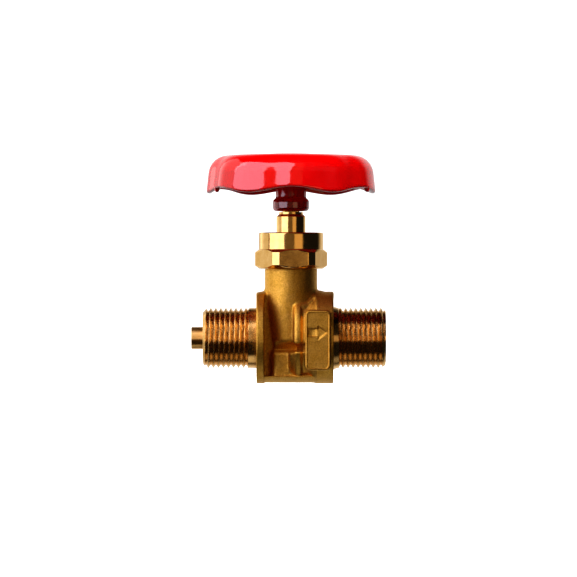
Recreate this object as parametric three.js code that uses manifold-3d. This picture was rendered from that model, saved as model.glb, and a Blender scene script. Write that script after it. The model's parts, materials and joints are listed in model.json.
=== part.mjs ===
// A screw-down stop valve for a gas line: a forged brass body with two male pipe
// threads, a rising stem in a stuffing box, a soft disc on a raised seat and a lobed
// handwheel.
//
// Millimetres, +Z up. The origin is where the stem's axis crosses the pipe's axis, +X is
// the direction of flow and +Z runs up the stem. The valve is built closed. One turn of
// the wheel, anticlockwise from above, lifts the stem by STEM_PITCH.

import * as THREE from 'three';
import { mergeVertices } from 'three/addons/utils/BufferGeometryUtils.js';
import Module from 'manifold-3d';

const wasm = await Module();
wasm.setup();

// ---------------------------------------------------------------- driving dimensions

const GAP = 0.3; // left between pieces that touch in the real valve
const SINK = 0.4; // how far joined shapes reach into each other

const FINE = 40; // sides of a large round
const ROUND = 32; // sides of a middling round
const SMALL = 20; // sides of a small round, and of every thread

// Stations along the pipe.
const INLET_FACE = -31.8;
const BODY_LEFT = -12.5;
const BODY_RIGHT = 15.3;
const OUTLET_FACE = 34.2;

// Stations up the stem.
const NECK_SHOULDER = 25;
const NECK_TOP = 34;
const NUT_TOP = 38.1;
const HUB_BOTTOM = 45.8;
const WHEEL_TOP = 66;

// The pipe thread, Whitworth form, 14 to the inch on 21.8 mm.
const PIPE_PITCH = 25.4 / 14;
const PIPE_MAJOR_R = 10.9;
const PIPE_ROOT_R = PIPE_MAJOR_R - 0.64 * PIPE_PITCH;
const WHITWORTH_FLANK = THREE.MathUtils.degToRad(27.5);

// The stem's drive thread, 12 mm by 1.5 mm, ISO form.
const STEM_PITCH = 1.5;
const STEM_THREAD_R = 5.9;
const STEM_ROOT_R = 5.1;
const STEM_THREAD_BOTTOM = 9;
const CHAMBER_TOP = STEM_THREAD_BOTTOM + 3 * STEM_PITCH; // whole turns up, so the two threads match
const ISO_FLANK = THREE.MathUtils.degToRad(30);

// Radii of the body.
const END_DISC_R = 16.4;
const BAND_R = 16.1;
const CHAMBER_BARREL_R = 15.2;
const NECK_R = 9.45;
const NECK_THREAD_R = 9;

// Radii on the stem's axis.
const STEM_R = 5.25;
const BOX_R = 7.2; // stuffing box
const CHAMBER_R = 6.5;
const SEAT_BORE_R = 5;
const WELL_R = 3;

// Flow passages.
const SPIGOT_R = 4;
const SPIGOT_BORE_R = 3;
const DRILL_R = 2.8;
const OUTLET_PORT_R = 6;

// The handwheel.
const LOBES = 6;
const WHEEL_R = 30.7;
const VALLEY_DEPTH = 1.1;
const VALLEY_SHARPNESS = 3; // the higher, the narrower the valleys between round lobes
const VALLEY_LEAN = THREE.MathUtils.degToRad(-10); // from a valley's highest rim to its deepest line
const WHEEL_WALL = 2.2;

// ---------------------------------------------------------------- shape helpers

// A solid turned about +Z. The points are [radius, height], anticlockwise round the
// section, and they start and end on the axis or close on themselves.
function turned(points, sides = ROUND) {
  const profile = points.map(([r, z]) => new THREE.Vector2(r, z));
  return new THREE.LatheGeometry(profile, sides).rotateX(Math.PI / 2);
}

function rod(radius, from, to, sides = ROUND) {
  return turned([[0, from], [radius, from], [radius, to], [0, to]], sides);
}

// A ring with a square section, closed on itself.
function ring(innerR, outerR, from, to, sides = ROUND) {
  const section = [[innerR, from], [outerR, from], [outerR, to], [innerR, to], [innerR, from]];
  return turned(section, sides);
}

function block(x0, x1, y0, y1, z0, z1) {
  const box = new THREE.BoxGeometry(x1 - x0, y1 - y0, z1 - z0);
  return box.translate((x0 + x1) / 2, (y0 + y1) / 2, (z0 + z1) / 2);
}

// Lays a shape built along +Z on the pipe's axis, +Z to +X.
function alongPipe(geometry) {
  return geometry.rotateY(Math.PI / 2);
}

// A closed mesh as a manifold solid: shared corners merged, collapsed triangles dropped.
function toSolid(geometry) {
  const bare = geometry.clone();
  bare.deleteAttribute('normal');
  bare.deleteAttribute('uv');
  const merged = mergeVertices(bare);
  const corners = Array.from(merged.index.array);
  const triangles = [];
  for (let i = 0; i < corners.length; i += 3) {
    const [a, b, c] = corners.slice(i, i + 3);
    if (a !== b && b !== c && c !== a) triangles.push(a, b, c);
  }
  return new wasm.Manifold(new wasm.Mesh({
    numProp: 3,
    vertProperties: new Float32Array(merged.attributes.position.array),
    triVerts: new Uint32Array(triangles),
  }));
}

function toGeometry(solid) {
  const mesh = solid.getMesh();
  const geometry = new THREE.BufferGeometry();
  geometry.setAttribute('position', new THREE.BufferAttribute(mesh.vertProperties, 3));
  geometry.setIndex(new THREE.BufferAttribute(mesh.triVerts, 1));
  const faceted = geometry.toNonIndexed();
  faceted.computeVertexNormals();
  return faceted;
}

function union(...geometries) {
  const solids = geometries.map(toSolid);
  return toGeometry(solids.reduce((whole, piece) => whole.add(piece)));
}

function cut(geometry, ...tools) {
  const solids = tools.map(toSolid);
  return toGeometry(solids.reduce((left, tool) => left.subtract(tool), toSolid(geometry)));
}

function common(first, second) {
  return toGeometry(toSolid(first).intersect(toSolid(second)));
}

// A screw about +Z with a point at each end, from below height from to above height to.
// hand is +1 for right-hand and -1 for left-hand.
function screw({ rootR, crestR, pitch, flank, hand, from, to, sides }) {
  const crestHalf = pitch / 12;
  const footHalf = crestHalf + (crestR - rootR) * Math.tan(flank);
  const section = [[rootR, footHalf - pitch], [rootR, -footHalf], [crestR, -crestHalf], [crestR, crestHalf]];
  const across = section.length;
  const steps = Math.ceil((to - from) / pitch * sides);
  const positions = [];
  for (let step = 0; step <= steps + sides; step += 1) {
    const turn = hand * 2 * Math.PI * step / sides;
    for (const [r, z] of section) {
      positions.push(r * Math.sin(turn), -r * Math.cos(turn), from + pitch * step / sides + z);
    }
  }
  const lowTip = positions.length / 3;
  positions.push(0, 0, from - 2 * pitch, 0, 0, to + 2 * pitch);

  // Past the last point of its section a step joins on to the step one turn later.
  const at = (step, point) => (point < across ? step * across + point : (step + sides) * across);
  const faces = [];
  const face = (a, b, c) => faces.push(...(hand > 0 ? [a, b, c] : [a, c, b]));
  for (let step = 0; step < steps; step += 1) {
    for (let point = 0; point < across; point += 1) {
      face(at(step, point), at(step + 1, point), at(step + 1, point + 1));
      face(at(step, point), at(step + 1, point + 1), at(step, point + 1));
    }
  }
  for (let point = 0; point < across; point += 1) {
    face(lowTip, at(0, point), at(0, point + 1));
    face(lowTip + 1, at(steps, point + 1), at(steps, point));
  }
  for (let step = 0; step < sides; step += 1) {
    face(lowTip, at(step + 1, 0), at(step, 0));
    face(lowTip + 1, at(steps + step, 0), at(steps + step + 1, 0));
  }

  const geometry = new THREE.BufferGeometry();
  geometry.setAttribute('position', new THREE.Float32BufferAttribute(positions, 3));
  geometry.setIndex(faces);
  return geometry;
}

// A prism with a rounded rectangle for its outline, in the XZ plane, from y0 to y1.
function roundedPad(x0, x1, z0, z1, corner, y0, y1) {
  const outline = new THREE.Shape();
  outline.moveTo(x0 + corner, z0);
  outline.lineTo(x1 - corner, z0);
  outline.absarc(x1 - corner, z0 + corner, corner, -Math.PI / 2, 0);
  outline.lineTo(x1, z1 - corner);
  outline.absarc(x1 - corner, z1 - corner, corner, 0, Math.PI / 2);
  outline.lineTo(x0 + corner, z1);
  outline.absarc(x0 + corner, z1 - corner, corner, Math.PI / 2, Math.PI);
  outline.lineTo(x0, z0 + corner);
  outline.absarc(x0 + corner, z0 + corner, corner, Math.PI, 1.5 * Math.PI);
  return uprightPrism(outline, y0, y1, 4);
}

// Extrudes an outline drawn in x and z from y0 to y1.
function uprightPrism(outline, y0, y1, curveSegments = 1) {
  const options = { depth: y1 - y0, bevelEnabled: false, curveSegments };
  return new THREE.ExtrudeGeometry(outline, options).rotateX(Math.PI / 2).translate(0, y1, 0);
}

function polygon(points) {
  return new THREE.Shape(points.map(([x, z]) => new THREE.Vector2(x, z)));
}

// A regular prism about +Z. flats is the distance across the flats.
function flatsPrism(count, flats, from, to, turn = 0) {
  const radius = flats / 2 / Math.cos(Math.PI / count);
  const shape = new THREE.CylinderGeometry(radius, radius, to - from, count);
  return shape.rotateX(Math.PI / 2).rotateZ(turn).translate(0, 0, (from + to) / 2);
}

// A straight drilling of the flow passage, between two points of the XZ plane.
function drilling(radius, [x0, z0], [x1, z1]) {
  const start = new THREE.Vector3(x0, 0, z0);
  const run = new THREE.Vector3(x1, 0, z1).sub(start);
  const aim = new THREE.Quaternion().setFromUnitVectors(
    new THREE.Vector3(0, 0, 1),
    run.clone().normalize(),
  );
  return rod(radius, 0, run.length(), SMALL).applyQuaternion(aim).translate(x0, 0, z0);
}

// ---------------------------------------------------------------- valve body

// A male pipe thread along +Z with a chamfered end at face. The other end, at root, is
// buried in the body. sense is +1 where the face is the upper end and -1 where it is the
// lower one.
function pipeThread(hand, face, root, sense) {
  const chamferR = 1.5;
  const chamferRun = 1.3;
  const spare = 0.1;
  const faceR = PIPE_MAJOR_R - chamferR;
  const outside = [
    [0, root],
    [PIPE_MAJOR_R + spare, root],
    [PIPE_MAJOR_R + spare, face - sense * chamferRun],
    [faceR, face],
    [0, face],
  ];
  const blank = turned(sense > 0 ? outside : outside.reverse(), SMALL);
  const low = Math.min(face, root);
  const high = Math.max(face, root);
  return alongPipe(common(blank, screw({
    rootR: PIPE_ROOT_R,
    crestR: PIPE_MAJOR_R,
    pitch: PIPE_PITCH,
    flank: WHITWORTH_FLANK,
    hand,
    from: low,
    to: high,
    sides: SMALL,
  })));
}

// The inlet stub: right-hand thread with a plain shank against the body.
function inletStub() {
  const shankEnd = -15.5;
  const shankR = PIPE_MAJOR_R + 0.05;
  const shank = alongPipe(turned([
    [0, shankEnd - 1],
    [PIPE_ROOT_R - SINK, shankEnd - 1],
    [shankR, shankEnd],
    [shankR, BODY_LEFT + SINK],
    [0, BODY_LEFT + SINK],
  ], SMALL));
  const thread = pipeThread(1, INLET_FACE, shankEnd + SINK, -1);
  return union(shank, thread);
}

// The outlet stub: left-hand thread in front of a short cone.
function outletStub() {
  const coneEnd = BODY_RIGHT + 2.4;
  const cone = alongPipe(turned([
    [0, BODY_RIGHT - SINK],
    [11.5, BODY_RIGHT - SINK],
    [11.5, BODY_RIGHT],
    [10.65, coneEnd],
    [PIPE_ROOT_R - SINK, coneEnd + 0.8],
    [0, coneEnd + 0.8],
  ], SMALL));
  const thread = pipeThread(-1, OUTLET_FACE, coneEnd - SINK, 1);
  return union(cone, thread);
}

// A round lying on the pipe's axis.
function drum(radius, x0, x1) {
  return alongPipe(rod(radius, x0, x1, FINE));
}

// The forging: an end disc, a recessed waist with the neck's boss on it, a barrel round
// the outlet chamber, a band under the waist and a pad on each side for a spanner.
function forging() {
  const pocketHalf = 7.2; // half thickness of the waist
  const leftDisc = drum(END_DISC_R, BODY_LEFT, -9.8);
  const rightDisc = drum(END_DISC_R, 9.3, BODY_RIGHT);
  const barrel = alongPipe(turned([
    [0, 1],
    [CHAMBER_BARREL_R, 1],
    [CHAMBER_BARREL_R, 6.5],
    [END_DISC_R, 9.3],
    [END_DISC_R, 10],
    [0, 10],
  ], FINE));
  const waist = common(drum(BAND_R, -10, 9.8), block(-10, 10, -pocketHalf, pocketHalf, -17, 17));
  const band = common(drum(BAND_R, -10, 9.8), block(-10, 10, -17, 17, -17, -13.6));
  const lowerBlock = common(drum(14, -0.5, 2), block(-0.5, 2, -17, 17, -14, -4.7));
  const pads = [-1, 1].map((side) => pad(side));
  return union(leftDisc, rightDisc, barrel, waist, band, lowerBlock, neck(), ...pads);
}

// The neck runs up to its thread, and down over the waist as a boss that narrows to the
// left.
function neck() {
  const bossBottom = -1.8;
  const column = turned([
    [0, bossBottom],
    [NECK_R - 1.5, bossBottom],
    [NECK_R, bossBottom + 1.5],
    [NECK_R, NECK_SHOULDER],
    [NECK_THREAD_R, NECK_SHOULDER],
    [NECK_THREAD_R, NECK_TOP - 0.6],
    [NECK_THREAD_R - 0.6, NECK_TOP],
    [0, NECK_TOP],
  ], FINE);
  const outline = polygon([
    [-10, NECK_TOP + 1],
    [-10, 15],
    [-9, 14.5],
    [-5.6, bossBottom - 1],
    [10, bossBottom - 1],
    [10, NECK_TOP + 1],
  ]);
  return common(column, uprightPrism(outline, -NECK_R - 1, NECK_R + 1));
}

// A raised spanner pad with a sunken flow arrow. side is -1 for the front, +1 for the back.
function pad(side) {
  const faceY = 17.1;
  const arrowDepth = 1;
  const arrow = polygon([
    [5.9, 0.5],
    [9.6, 0.5],
    [9.6, -0.4],
    [13, 2.2],
    [9.6, 4.8],
    [9.6, 3.4],
    [5.9, 3.4],
  ]);
  const across = (near, far) => (side > 0 ? [near, far] : [-far, -near]);
  const raised = roundedPad(5.1, 14.1, -11.4, 10, 1.8, ...across(10, faceY));
  const sunken = uprightPrism(arrow, ...across(faceY - arrowDepth, faceY + 1));
  return cut(raised, sunken);
}

// Everything bored out of the body, from the stuffing box down to the flow passages.
function bodyBores() {
  const boxFloor = 23;
  const chamberFloor = 1.5;
  const seatFloor = -1.5;
  const wellBottom = -8;
  const chamber = turned([
    [0, wellBottom],
    [WELL_R, wellBottom],
    [WELL_R, seatFloor],
    [SEAT_BORE_R, seatFloor],
    [SEAT_BORE_R, chamberFloor],
    [CHAMBER_R, chamberFloor],
    [CHAMBER_R, CHAMBER_TOP],
    [0, CHAMBER_TOP],
  ]);
  const stuffingBox = rod(BOX_R, boxFloor, NECK_TOP + 1);
  const driveThread = screw({
    rootR: STEM_ROOT_R + GAP,
    crestR: STEM_THREAD_R + GAP,
    pitch: STEM_PITCH,
    flank: ISO_FLANK,
    hand: 1,
    from: CHAMBER_TOP - STEM_PITCH,
    to: boxFloor + STEM_PITCH,
    sides: SMALL,
  });
  const outletPort = alongPipe(rod(OUTLET_PORT_R, 24, OUTLET_FACE + 1, ROUND));
  const inletPort = alongPipe(rod(SPIGOT_R + GAP, INLET_FACE - 1, -19.6, SMALL));
  const inletDrilling = drilling(DRILL_R, [-20, 0], [0, -5]);
  const outletDrilling = drilling(DRILL_R, [3.5, 5.6], [24.5, 0]);
  return [
    chamber,
    stuffingBox,
    driveThread,
    outletPort,
    inletPort,
    inletDrilling,
    outletDrilling,
  ];
}

function valveBody() {
  return cut(union(forging(), inletStub(), outletStub()), ...bodyBores());
}

// ---------------------------------------------------------------- fixed fittings

// The plain tube pressed into the inlet.
function inletSpigot() {
  return alongPipe(ring(SPIGOT_BORE_R, SPIGOT_R, -36, -20, SMALL));
}

function seatRing() {
  const bottom = -1.2;
  const top = 1.7;
  const lip = 0.5;
  return turned([
    [WELL_R, bottom],
    [SEAT_BORE_R - GAP, bottom],
    [SEAT_BORE_R - GAP, top],
    [WELL_R + 1, top],
    [WELL_R + 0.6, top + lip],
    [WELL_R, top + lip],
    [WELL_R, bottom],
  ], SMALL);
}

// Hexagon with a round collar above it. It bears on the gland follower.
function packingNut() {
  const hexTop = 32;
  const flats = 24;
  const cornerR = 13.1; // the hexagon's corners are turned down to this
  const collarR = 11.7;
  const hexTurn = THREE.MathUtils.degToRad(5.3);
  const hexagon = flatsPrism(6, flats, NECK_SHOULDER, hexTop, hexTurn);
  const chamfers = turned([
    [0, NECK_SHOULDER],
    [cornerR - 1.5, NECK_SHOULDER],
    [cornerR, NECK_SHOULDER + 1.2],
    [cornerR, hexTop - 1.1],
    [cornerR - 1.3, hexTop],
    [0, hexTop],
  ], 6 * 12);
  const collar = turned([
    [0, hexTop - SINK],
    [collarR, hexTop - SINK],
    [collarR, NUT_TOP - 0.5],
    [collarR - 0.5, NUT_TOP],
    [0, NUT_TOP],
  ]);
  const bore = turned([
    [0, NECK_SHOULDER - 1],
    [NECK_THREAD_R + GAP, NECK_SHOULDER - 1],
    [NECK_THREAD_R + GAP, NECK_TOP + 2],
    [STEM_R + GAP, NECK_TOP + 2],
    [STEM_R + GAP, NUT_TOP + 1],
    [0, NUT_TOP + 1],
  ]);
  return cut(union(common(hexagon, chamfers), collar), bore);
}

// ---------------------------------------------------------------- packing

const PACKING_INNER_R = STEM_R + 0.25;
const PACKING_OUTER_R = BOX_R - 0.25;
const PACKING_MIDDLE_R = (PACKING_INNER_R + PACKING_OUTER_R) / 2;
const PACKING_FOOT = 23.3;
const V_RISE = 0.6; // how much higher the middle of a V ring is than its edges
const RING_HEIGHT = 1.5;
const RING_COUNT = 4;
const RING_STEP = RING_HEIGHT + 0.25;
const FIRST_RING = PACKING_FOOT + 1 + 0.25;

// Flat below, with a ridge on top that the first V ring rides on.
function packingBaseRing() {
  const edge = PACKING_FOOT + 1;
  return turned([
    [PACKING_INNER_R, PACKING_FOOT],
    [PACKING_OUTER_R, PACKING_FOOT],
    [PACKING_OUTER_R, edge],
    [PACKING_MIDDLE_R, edge + V_RISE],
    [PACKING_INNER_R, edge],
    [PACKING_INNER_R, PACKING_FOOT],
  ], SMALL);
}

function packingRing(index) {
  const bottom = FIRST_RING + index * RING_STEP;
  const top = bottom + RING_HEIGHT;
  return turned([
    [PACKING_INNER_R, bottom],
    [PACKING_MIDDLE_R, bottom + V_RISE],
    [PACKING_OUTER_R, bottom],
    [PACKING_OUTER_R, top],
    [PACKING_MIDDLE_R, top + V_RISE],
    [PACKING_INNER_R, top],
    [PACKING_INNER_R, bottom],
  ], SMALL);
}

// Hollowed below to fit the last V ring, flat on top.
function packingTopRing() {
  const bottom = FIRST_RING + RING_COUNT * RING_STEP;
  const top = bottom + 1.2;
  return turned([
    [PACKING_INNER_R, bottom],
    [PACKING_MIDDLE_R, bottom + V_RISE],
    [PACKING_OUTER_R, bottom],
    [PACKING_OUTER_R, top],
    [PACKING_INNER_R, top],
    [PACKING_INNER_R, bottom],
  ], SMALL);
}

// A sleeve in the stuffing box with a flange above the neck, under the nut's ceiling.
function glandFollower() {
  const sleeveBottom = FIRST_RING + RING_COUNT * RING_STEP + 1.2 + 0.25;
  const flangeBottom = NECK_TOP + GAP;
  const flangeTop = NECK_TOP + 2 - GAP;
  const flangeR = 8.4;
  return turned([
    [PACKING_INNER_R, sleeveBottom],
    [PACKING_OUTER_R, sleeveBottom],
    [PACKING_OUTER_R, flangeBottom],
    [flangeR, flangeBottom],
    [flangeR, flangeTop],
    [PACKING_INNER_R, flangeTop],
    [PACKING_INNER_R, sleeveBottom],
  ], SMALL);
}

// ---------------------------------------------------------------- stem and disc

const SEAL_BOTTOM = 2.5;
const SEAL_HEIGHT = 2.2;
const CLIP_HEIGHT = 6.6;
const DISC_SCREW_R = 0.8;
const DISC_HEAD_R = 1.7;
const WHEEL_SCREW_R = 2.3;

// The stem from its foot in the disc holder to the square under the wheel.
function stem() {
  const footR = 2.5;
  const grooveR = 2;
  const footBottom = 5.7;
  const threadTop = 18;
  const necked = 4.35;
  const squareTop = 61.6;
  const spareR = STEM_THREAD_R + 0.1;
  const blank = turned([
    [0, STEM_THREAD_BOTTOM],
    [spareR - 1, STEM_THREAD_BOTTOM],
    [spareR, STEM_THREAD_BOTTOM + 1],
    [spareR, threadTop - 1],
    [spareR - 1, threadTop],
    [0, threadTop],
  ], SMALL);
  const spindle = turned([
    [0, footBottom],
    [footR, footBottom],
    [footR, CLIP_HEIGHT - 0.4],
    [grooveR, CLIP_HEIGHT - 0.4],
    [grooveR, CLIP_HEIGHT + 0.8],
    [footR, CLIP_HEIGHT + 0.8],
    [footR, STEM_THREAD_BOTTOM],
    [STEM_ROOT_R - SINK, STEM_THREAD_BOTTOM],
    [STEM_ROOT_R - SINK, threadTop],
    [STEM_R, threadTop + 0.8],
    [STEM_R, 43.9],
    [necked, 44.7],
    [necked, HUB_BOTTOM - GAP],
    [4, HUB_BOTTOM - GAP],
    [4, squareTop - 0.5],
    [3.5, squareTop],
    [0, squareTop],
  ], SMALL);
  const thread = common(blank, screw({
    rootR: STEM_ROOT_R,
    crestR: STEM_THREAD_R,
    pitch: STEM_PITCH,
    flank: ISO_FLANK,
    hand: 1,
    from: STEM_THREAD_BOTTOM,
    to: threadTop,
    sides: SMALL,
  }));
  return cut(union(spindle, thread), ...squareCuts(3, squareTop), tappedHole(squareTop));
}

// What is milled off the stem's end to leave a square with rounded corners.
function squareCuts(half, top) {
  const reach = 6;
  const bottom = HUB_BOTTOM - GAP;
  const sides = [0, 1, 2, 3];
  return sides.map((side) => {
    const cutter = block(half, reach, -reach, reach, bottom, top + 1);
    return cutter.rotateZ(side * Math.PI / 2);
  });
}

function tappedHole(top) {
  return rod(WHEEL_SCREW_R + GAP, top - 10, top + 1, SMALL);
}

// The holder slides with the stem and doesn't turn with it.
function discHolder() {
  const outerR = 4.75;
  const recessR = 4;
  const bottom = SEAL_BOTTOM + 0.5;
  const floor = SEAL_BOTTOM + SEAL_HEIGHT + GAP;
  const socketFloor = floor + 0.4;
  const socketR = 2.5 + GAP;
  const grooveR = 3.5;
  const top = 8.3;
  return turned([
    [recessR, bottom],
    [outerR, bottom],
    [outerR, top - 0.4],
    [outerR - 0.4, top],
    [socketR, top],
    [socketR, CLIP_HEIGHT + 0.8],
    [grooveR, CLIP_HEIGHT + 0.8],
    [grooveR, CLIP_HEIGHT - 0.4],
    [socketR, CLIP_HEIGHT - 0.4],
    [socketR, socketFloor],
    [DISC_SCREW_R + GAP, socketFloor],
    [DISC_SCREW_R + GAP, floor],
    [recessR, floor],
    [recessR, bottom],
  ], SMALL);
}

function sealDisc() {
  const outerR = 3.8;
  const top = SEAL_BOTTOM + SEAL_HEIGHT;
  return turned([
    [DISC_SCREW_R + GAP, SEAL_BOTTOM + 1.5],
    [DISC_HEAD_R + GAP, SEAL_BOTTOM],
    [outerR, SEAL_BOTTOM],
    [outerR, top],
    [DISC_SCREW_R + GAP, top],
    [DISC_SCREW_R + GAP, SEAL_BOTTOM + 1.5],
  ], SMALL);
}

// A countersunk screw, head down, with a slot across it.
function discScrew() {
  const top = 5.4;
  const body = turned([
    [0, SEAL_BOTTOM],
    [DISC_HEAD_R, SEAL_BOTTOM],
    [DISC_SCREW_R, SEAL_BOTTOM + 1.5],
    [DISC_SCREW_R, top],
    [0, top],
  ], SMALL);
  const slot = block(-3, 3, -0.25, 0.25, SEAL_BOTTOM - 1, SEAL_BOTTOM + 0.6);
  return cut(body, slot);
}

// A snap ring with a gap in it.
function holderClip() {
  const whole = ring(2.2, 3.2, CLIP_HEIGHT - 0.1, CLIP_HEIGHT + 0.5, SMALL);
  return cut(whole, block(0, 4, -0.6, 0.6, CLIP_HEIGHT - 1, CLIP_HEIGHT + 1));
}

// ---------------------------------------------------------------- handwheel

const RECESS_R = 6.8;
const RECESS_FLOOR = 62;
const CROWN_HEIGHT = 0.55;
const RIM_LOBE_Z = 52.2;
const RIM_VALLEY_Z = 54;

// 1 in the middle of a valley and 0 on top of a lobe. A valley faces the front, past lean.
function valleyShare(x, y, lean) {
  const fromFront = Math.atan2(x, -y) - lean;
  return (1 + Math.cos(LOBES * fromFront)) / 2;
}

// Draws the shell's turned section in at the valleys, and lifts its rim beside them.
function lobed(geometry) {
  const place = geometry.getAttribute('position');
  const plainR = 20;
  for (let i = 0; i < place.count; i += 1) {
    const x = place.getX(i);
    const y = place.getY(i);
    const z = place.getZ(i);
    const radius = Math.hypot(x, y);
    const depth = VALLEY_DEPTH * valleyShare(x, y, VALLEY_LEAN) ** VALLEY_SHARPNESS;
    const outward = THREE.MathUtils.smoothstep(radius, plainR - 6, WHEEL_R - WHEEL_WALL);
    const downward = THREE.MathUtils.smoothstep(WHEEL_TOP - z, 4, WHEEL_TOP - RIM_LOBE_Z);
    const pull = 1 - depth / WHEEL_R * outward;
    const lift = (RIM_VALLEY_Z - RIM_LOBE_Z) * valleyShare(x, y, 0) * outward * downward;
    place.setXYZ(i, x * pull, y * pull, z + lift);
  }
  return geometry;
}

// Points of a quarter round from pointing outwards to pointing up.
function shoulder(centreR, centreZ, radius, steps) {
  const points = [];
  for (let i = 0; i <= steps; i += 1) {
    const angle = Math.PI / 2 * i / steps;
    points.push([centreR + radius * Math.cos(angle), centreZ + radius * Math.sin(angle)]);
  }
  return points;
}

// The shell: a drafted skirt, a large shoulder and a web in to the hub.
function wheelShell() {
  const shoulderR = 7;
  const draft = 1.5; // how much the skirt widens from shoulder to rim
  const centreR = WHEEL_R - draft - shoulderR;
  const centreZ = WHEEL_TOP - shoulderR;
  const innerR = 6;
  const outside = shoulder(centreR, centreZ, shoulderR, 4);
  const inside = shoulder(centreR, centreZ, shoulderR - WHEEL_WALL, 3).reverse();
  const section = [
    [WHEEL_R - WHEEL_WALL, RIM_LOBE_Z],
    [WHEEL_R, RIM_LOBE_Z],
    ...outside,
    [innerR, WHEEL_TOP],
    [innerR, WHEEL_TOP - WHEEL_WALL],
    ...inside,
    [WHEEL_R - WHEEL_WALL, RIM_LOBE_Z],
  ];
  return lobed(turned(section, 10 * LOBES));
}

// The hub: a bead at its foot, a slim shank and a flare up to the crown round the recess.
function wheelHub() {
  const beadR = 6.5;
  const shankR = 5.4;
  return turned([
    [0, HUB_BOTTOM],
    [beadR - 1.2, HUB_BOTTOM],
    [beadR, HUB_BOTTOM + 1.3],
    [beadR, HUB_BOTTOM + 2.8],
    [beadR - 0.8, HUB_BOTTOM + 3.9],
    [shankR, HUB_BOTTOM + 4.3],
    [shankR, 59],
    [9, WHEEL_TOP - 3],
    [9.5, WHEEL_TOP],
    [8.5, WHEEL_TOP + CROWN_HEIGHT],
    [0, WHEEL_TOP + CROWN_HEIGHT],
  ]);
}

function handwheel() {
  const squareHole = flatsPrism(4, 6.5, HUB_BOTTOM - 1, RECESS_FLOOR + 1, Math.PI / 4);
  const recess = rod(RECESS_R, RECESS_FLOOR, WHEEL_TOP + 2);
  return cut(union(wheelShell(), wheelHub()), squareHole, recess);
}

const WASHER_BOTTOM = RECESS_FLOOR + 0.25;
const SPRING_BOTTOM = WASHER_BOTTOM + 1 + 0.2;
const HEAD_BOTTOM = SPRING_BOTTOM + 1.2 + 0.2;

function wheelWasher() {
  return ring(WHEEL_SCREW_R + GAP, 6.3, WASHER_BOTTOM, WASHER_BOTTOM + 1, SMALL);
}

function wheelSpringWasher() {
  const whole = ring(WHEEL_SCREW_R + GAP, 4.3, SPRING_BOTTOM, SPRING_BOTTOM + 1.2, SMALL);
  return cut(whole, block(0, 5, -0.3, 0.3, SPRING_BOTTOM - 1, SPRING_BOTTOM + 2));
}

// A domed head with a hexagon socket, on a shank that runs down into the stem.
function wheelScrew() {
  const headR = 4.6;
  const headTop = WHEEL_TOP + CROWN_HEIGHT;
  const body = turned([
    [0, 53],
    [WHEEL_SCREW_R - 0.4, 53],
    [WHEEL_SCREW_R, 53.6],
    [WHEEL_SCREW_R, HEAD_BOTTOM],
    [headR, HEAD_BOTTOM],
    [headR, HEAD_BOTTOM + 0.7],
    [headR - 0.9, headTop - 0.5],
    [headR - 2, headTop],
    [0, headTop],
  ], SMALL);
  return cut(body, flatsPrism(6, 3, headTop - 1.2, headTop + 1));
}

// ---------------------------------------------------------------- assembly

function finish(color, roughness, metalness) {
  return new THREE.MeshStandardMaterial({ color, roughness, metalness });
}

const forgedBrass = finish(0xb8862f, 0.45, 1);
const turnedBrass = finish(0xd9a441, 0.22, 1);
const redCoating = finish(0xd40000, 0.15, 0);
const whitePolymer = finish(0xe8e6df, 0.5, 0);
const zincSteel = finish(0xb9bcc0, 0.3, 1);

function named(name, geometry, material) {
  const mesh = new THREE.Mesh(geometry, material.clone());
  mesh.name = name;
  return mesh;
}

function fixedPieces() {
  const group = new THREE.Group();
  group.add(
    named('valve_body', valveBody(), forgedBrass),
    named('inlet_spigot', inletSpigot(), turnedBrass),
    named('seat_ring', seatRing(), turnedBrass),
    named('packing_base_ring', packingBaseRing(), turnedBrass),
  );
  for (let i = 0; i < RING_COUNT; i += 1) {
    group.add(named(`packing_ring_${i + 1}`, packingRing(i), whitePolymer));
  }
  group.add(
    named('packing_top_ring', packingTopRing(), turnedBrass),
    named('gland_follower', glandFollower(), turnedBrass),
    named('packing_nut', packingNut(), turnedBrass),
  );
  return group;
}

// What slides up and down and doesn't turn.
function slidingPieces() {
  const group = new THREE.Group();
  group.add(
    named('disc_holder', discHolder(), turnedBrass),
    named('seal_disc', sealDisc(), whitePolymer),
    named('disc_screw', discScrew(), zincSteel),
  );
  return group;
}

// What turns with the wheel.
function turningPieces() {
  const group = new THREE.Group();
  group.add(
    named('stem', stem(), turnedBrass),
    named('holder_clip', holderClip(), zincSteel),
    named('handwheel', handwheel(), redCoating),
    named('wheel_washer', wheelWasher(), zincSteel),
    named('wheel_spring_washer', wheelSpringWasher(), zincSteel),
    named('wheel_screw', wheelScrew(), zincSteel),
  );
  return group;
}

const valve = new THREE.Group();
valve.add(fixedPieces(), slidingPieces(), turningPieces());

export default valve;
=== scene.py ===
"""A screw-down stop valve: forged brass body, turned fittings and a red dip-coated handwheel.

Shapes are worked out in millimetres, in the frame of the CAD model: +X runs along the pipe
with the flow, +Z up the stem, and the origin is where the two axes cross.
"""

import json
import math

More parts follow.
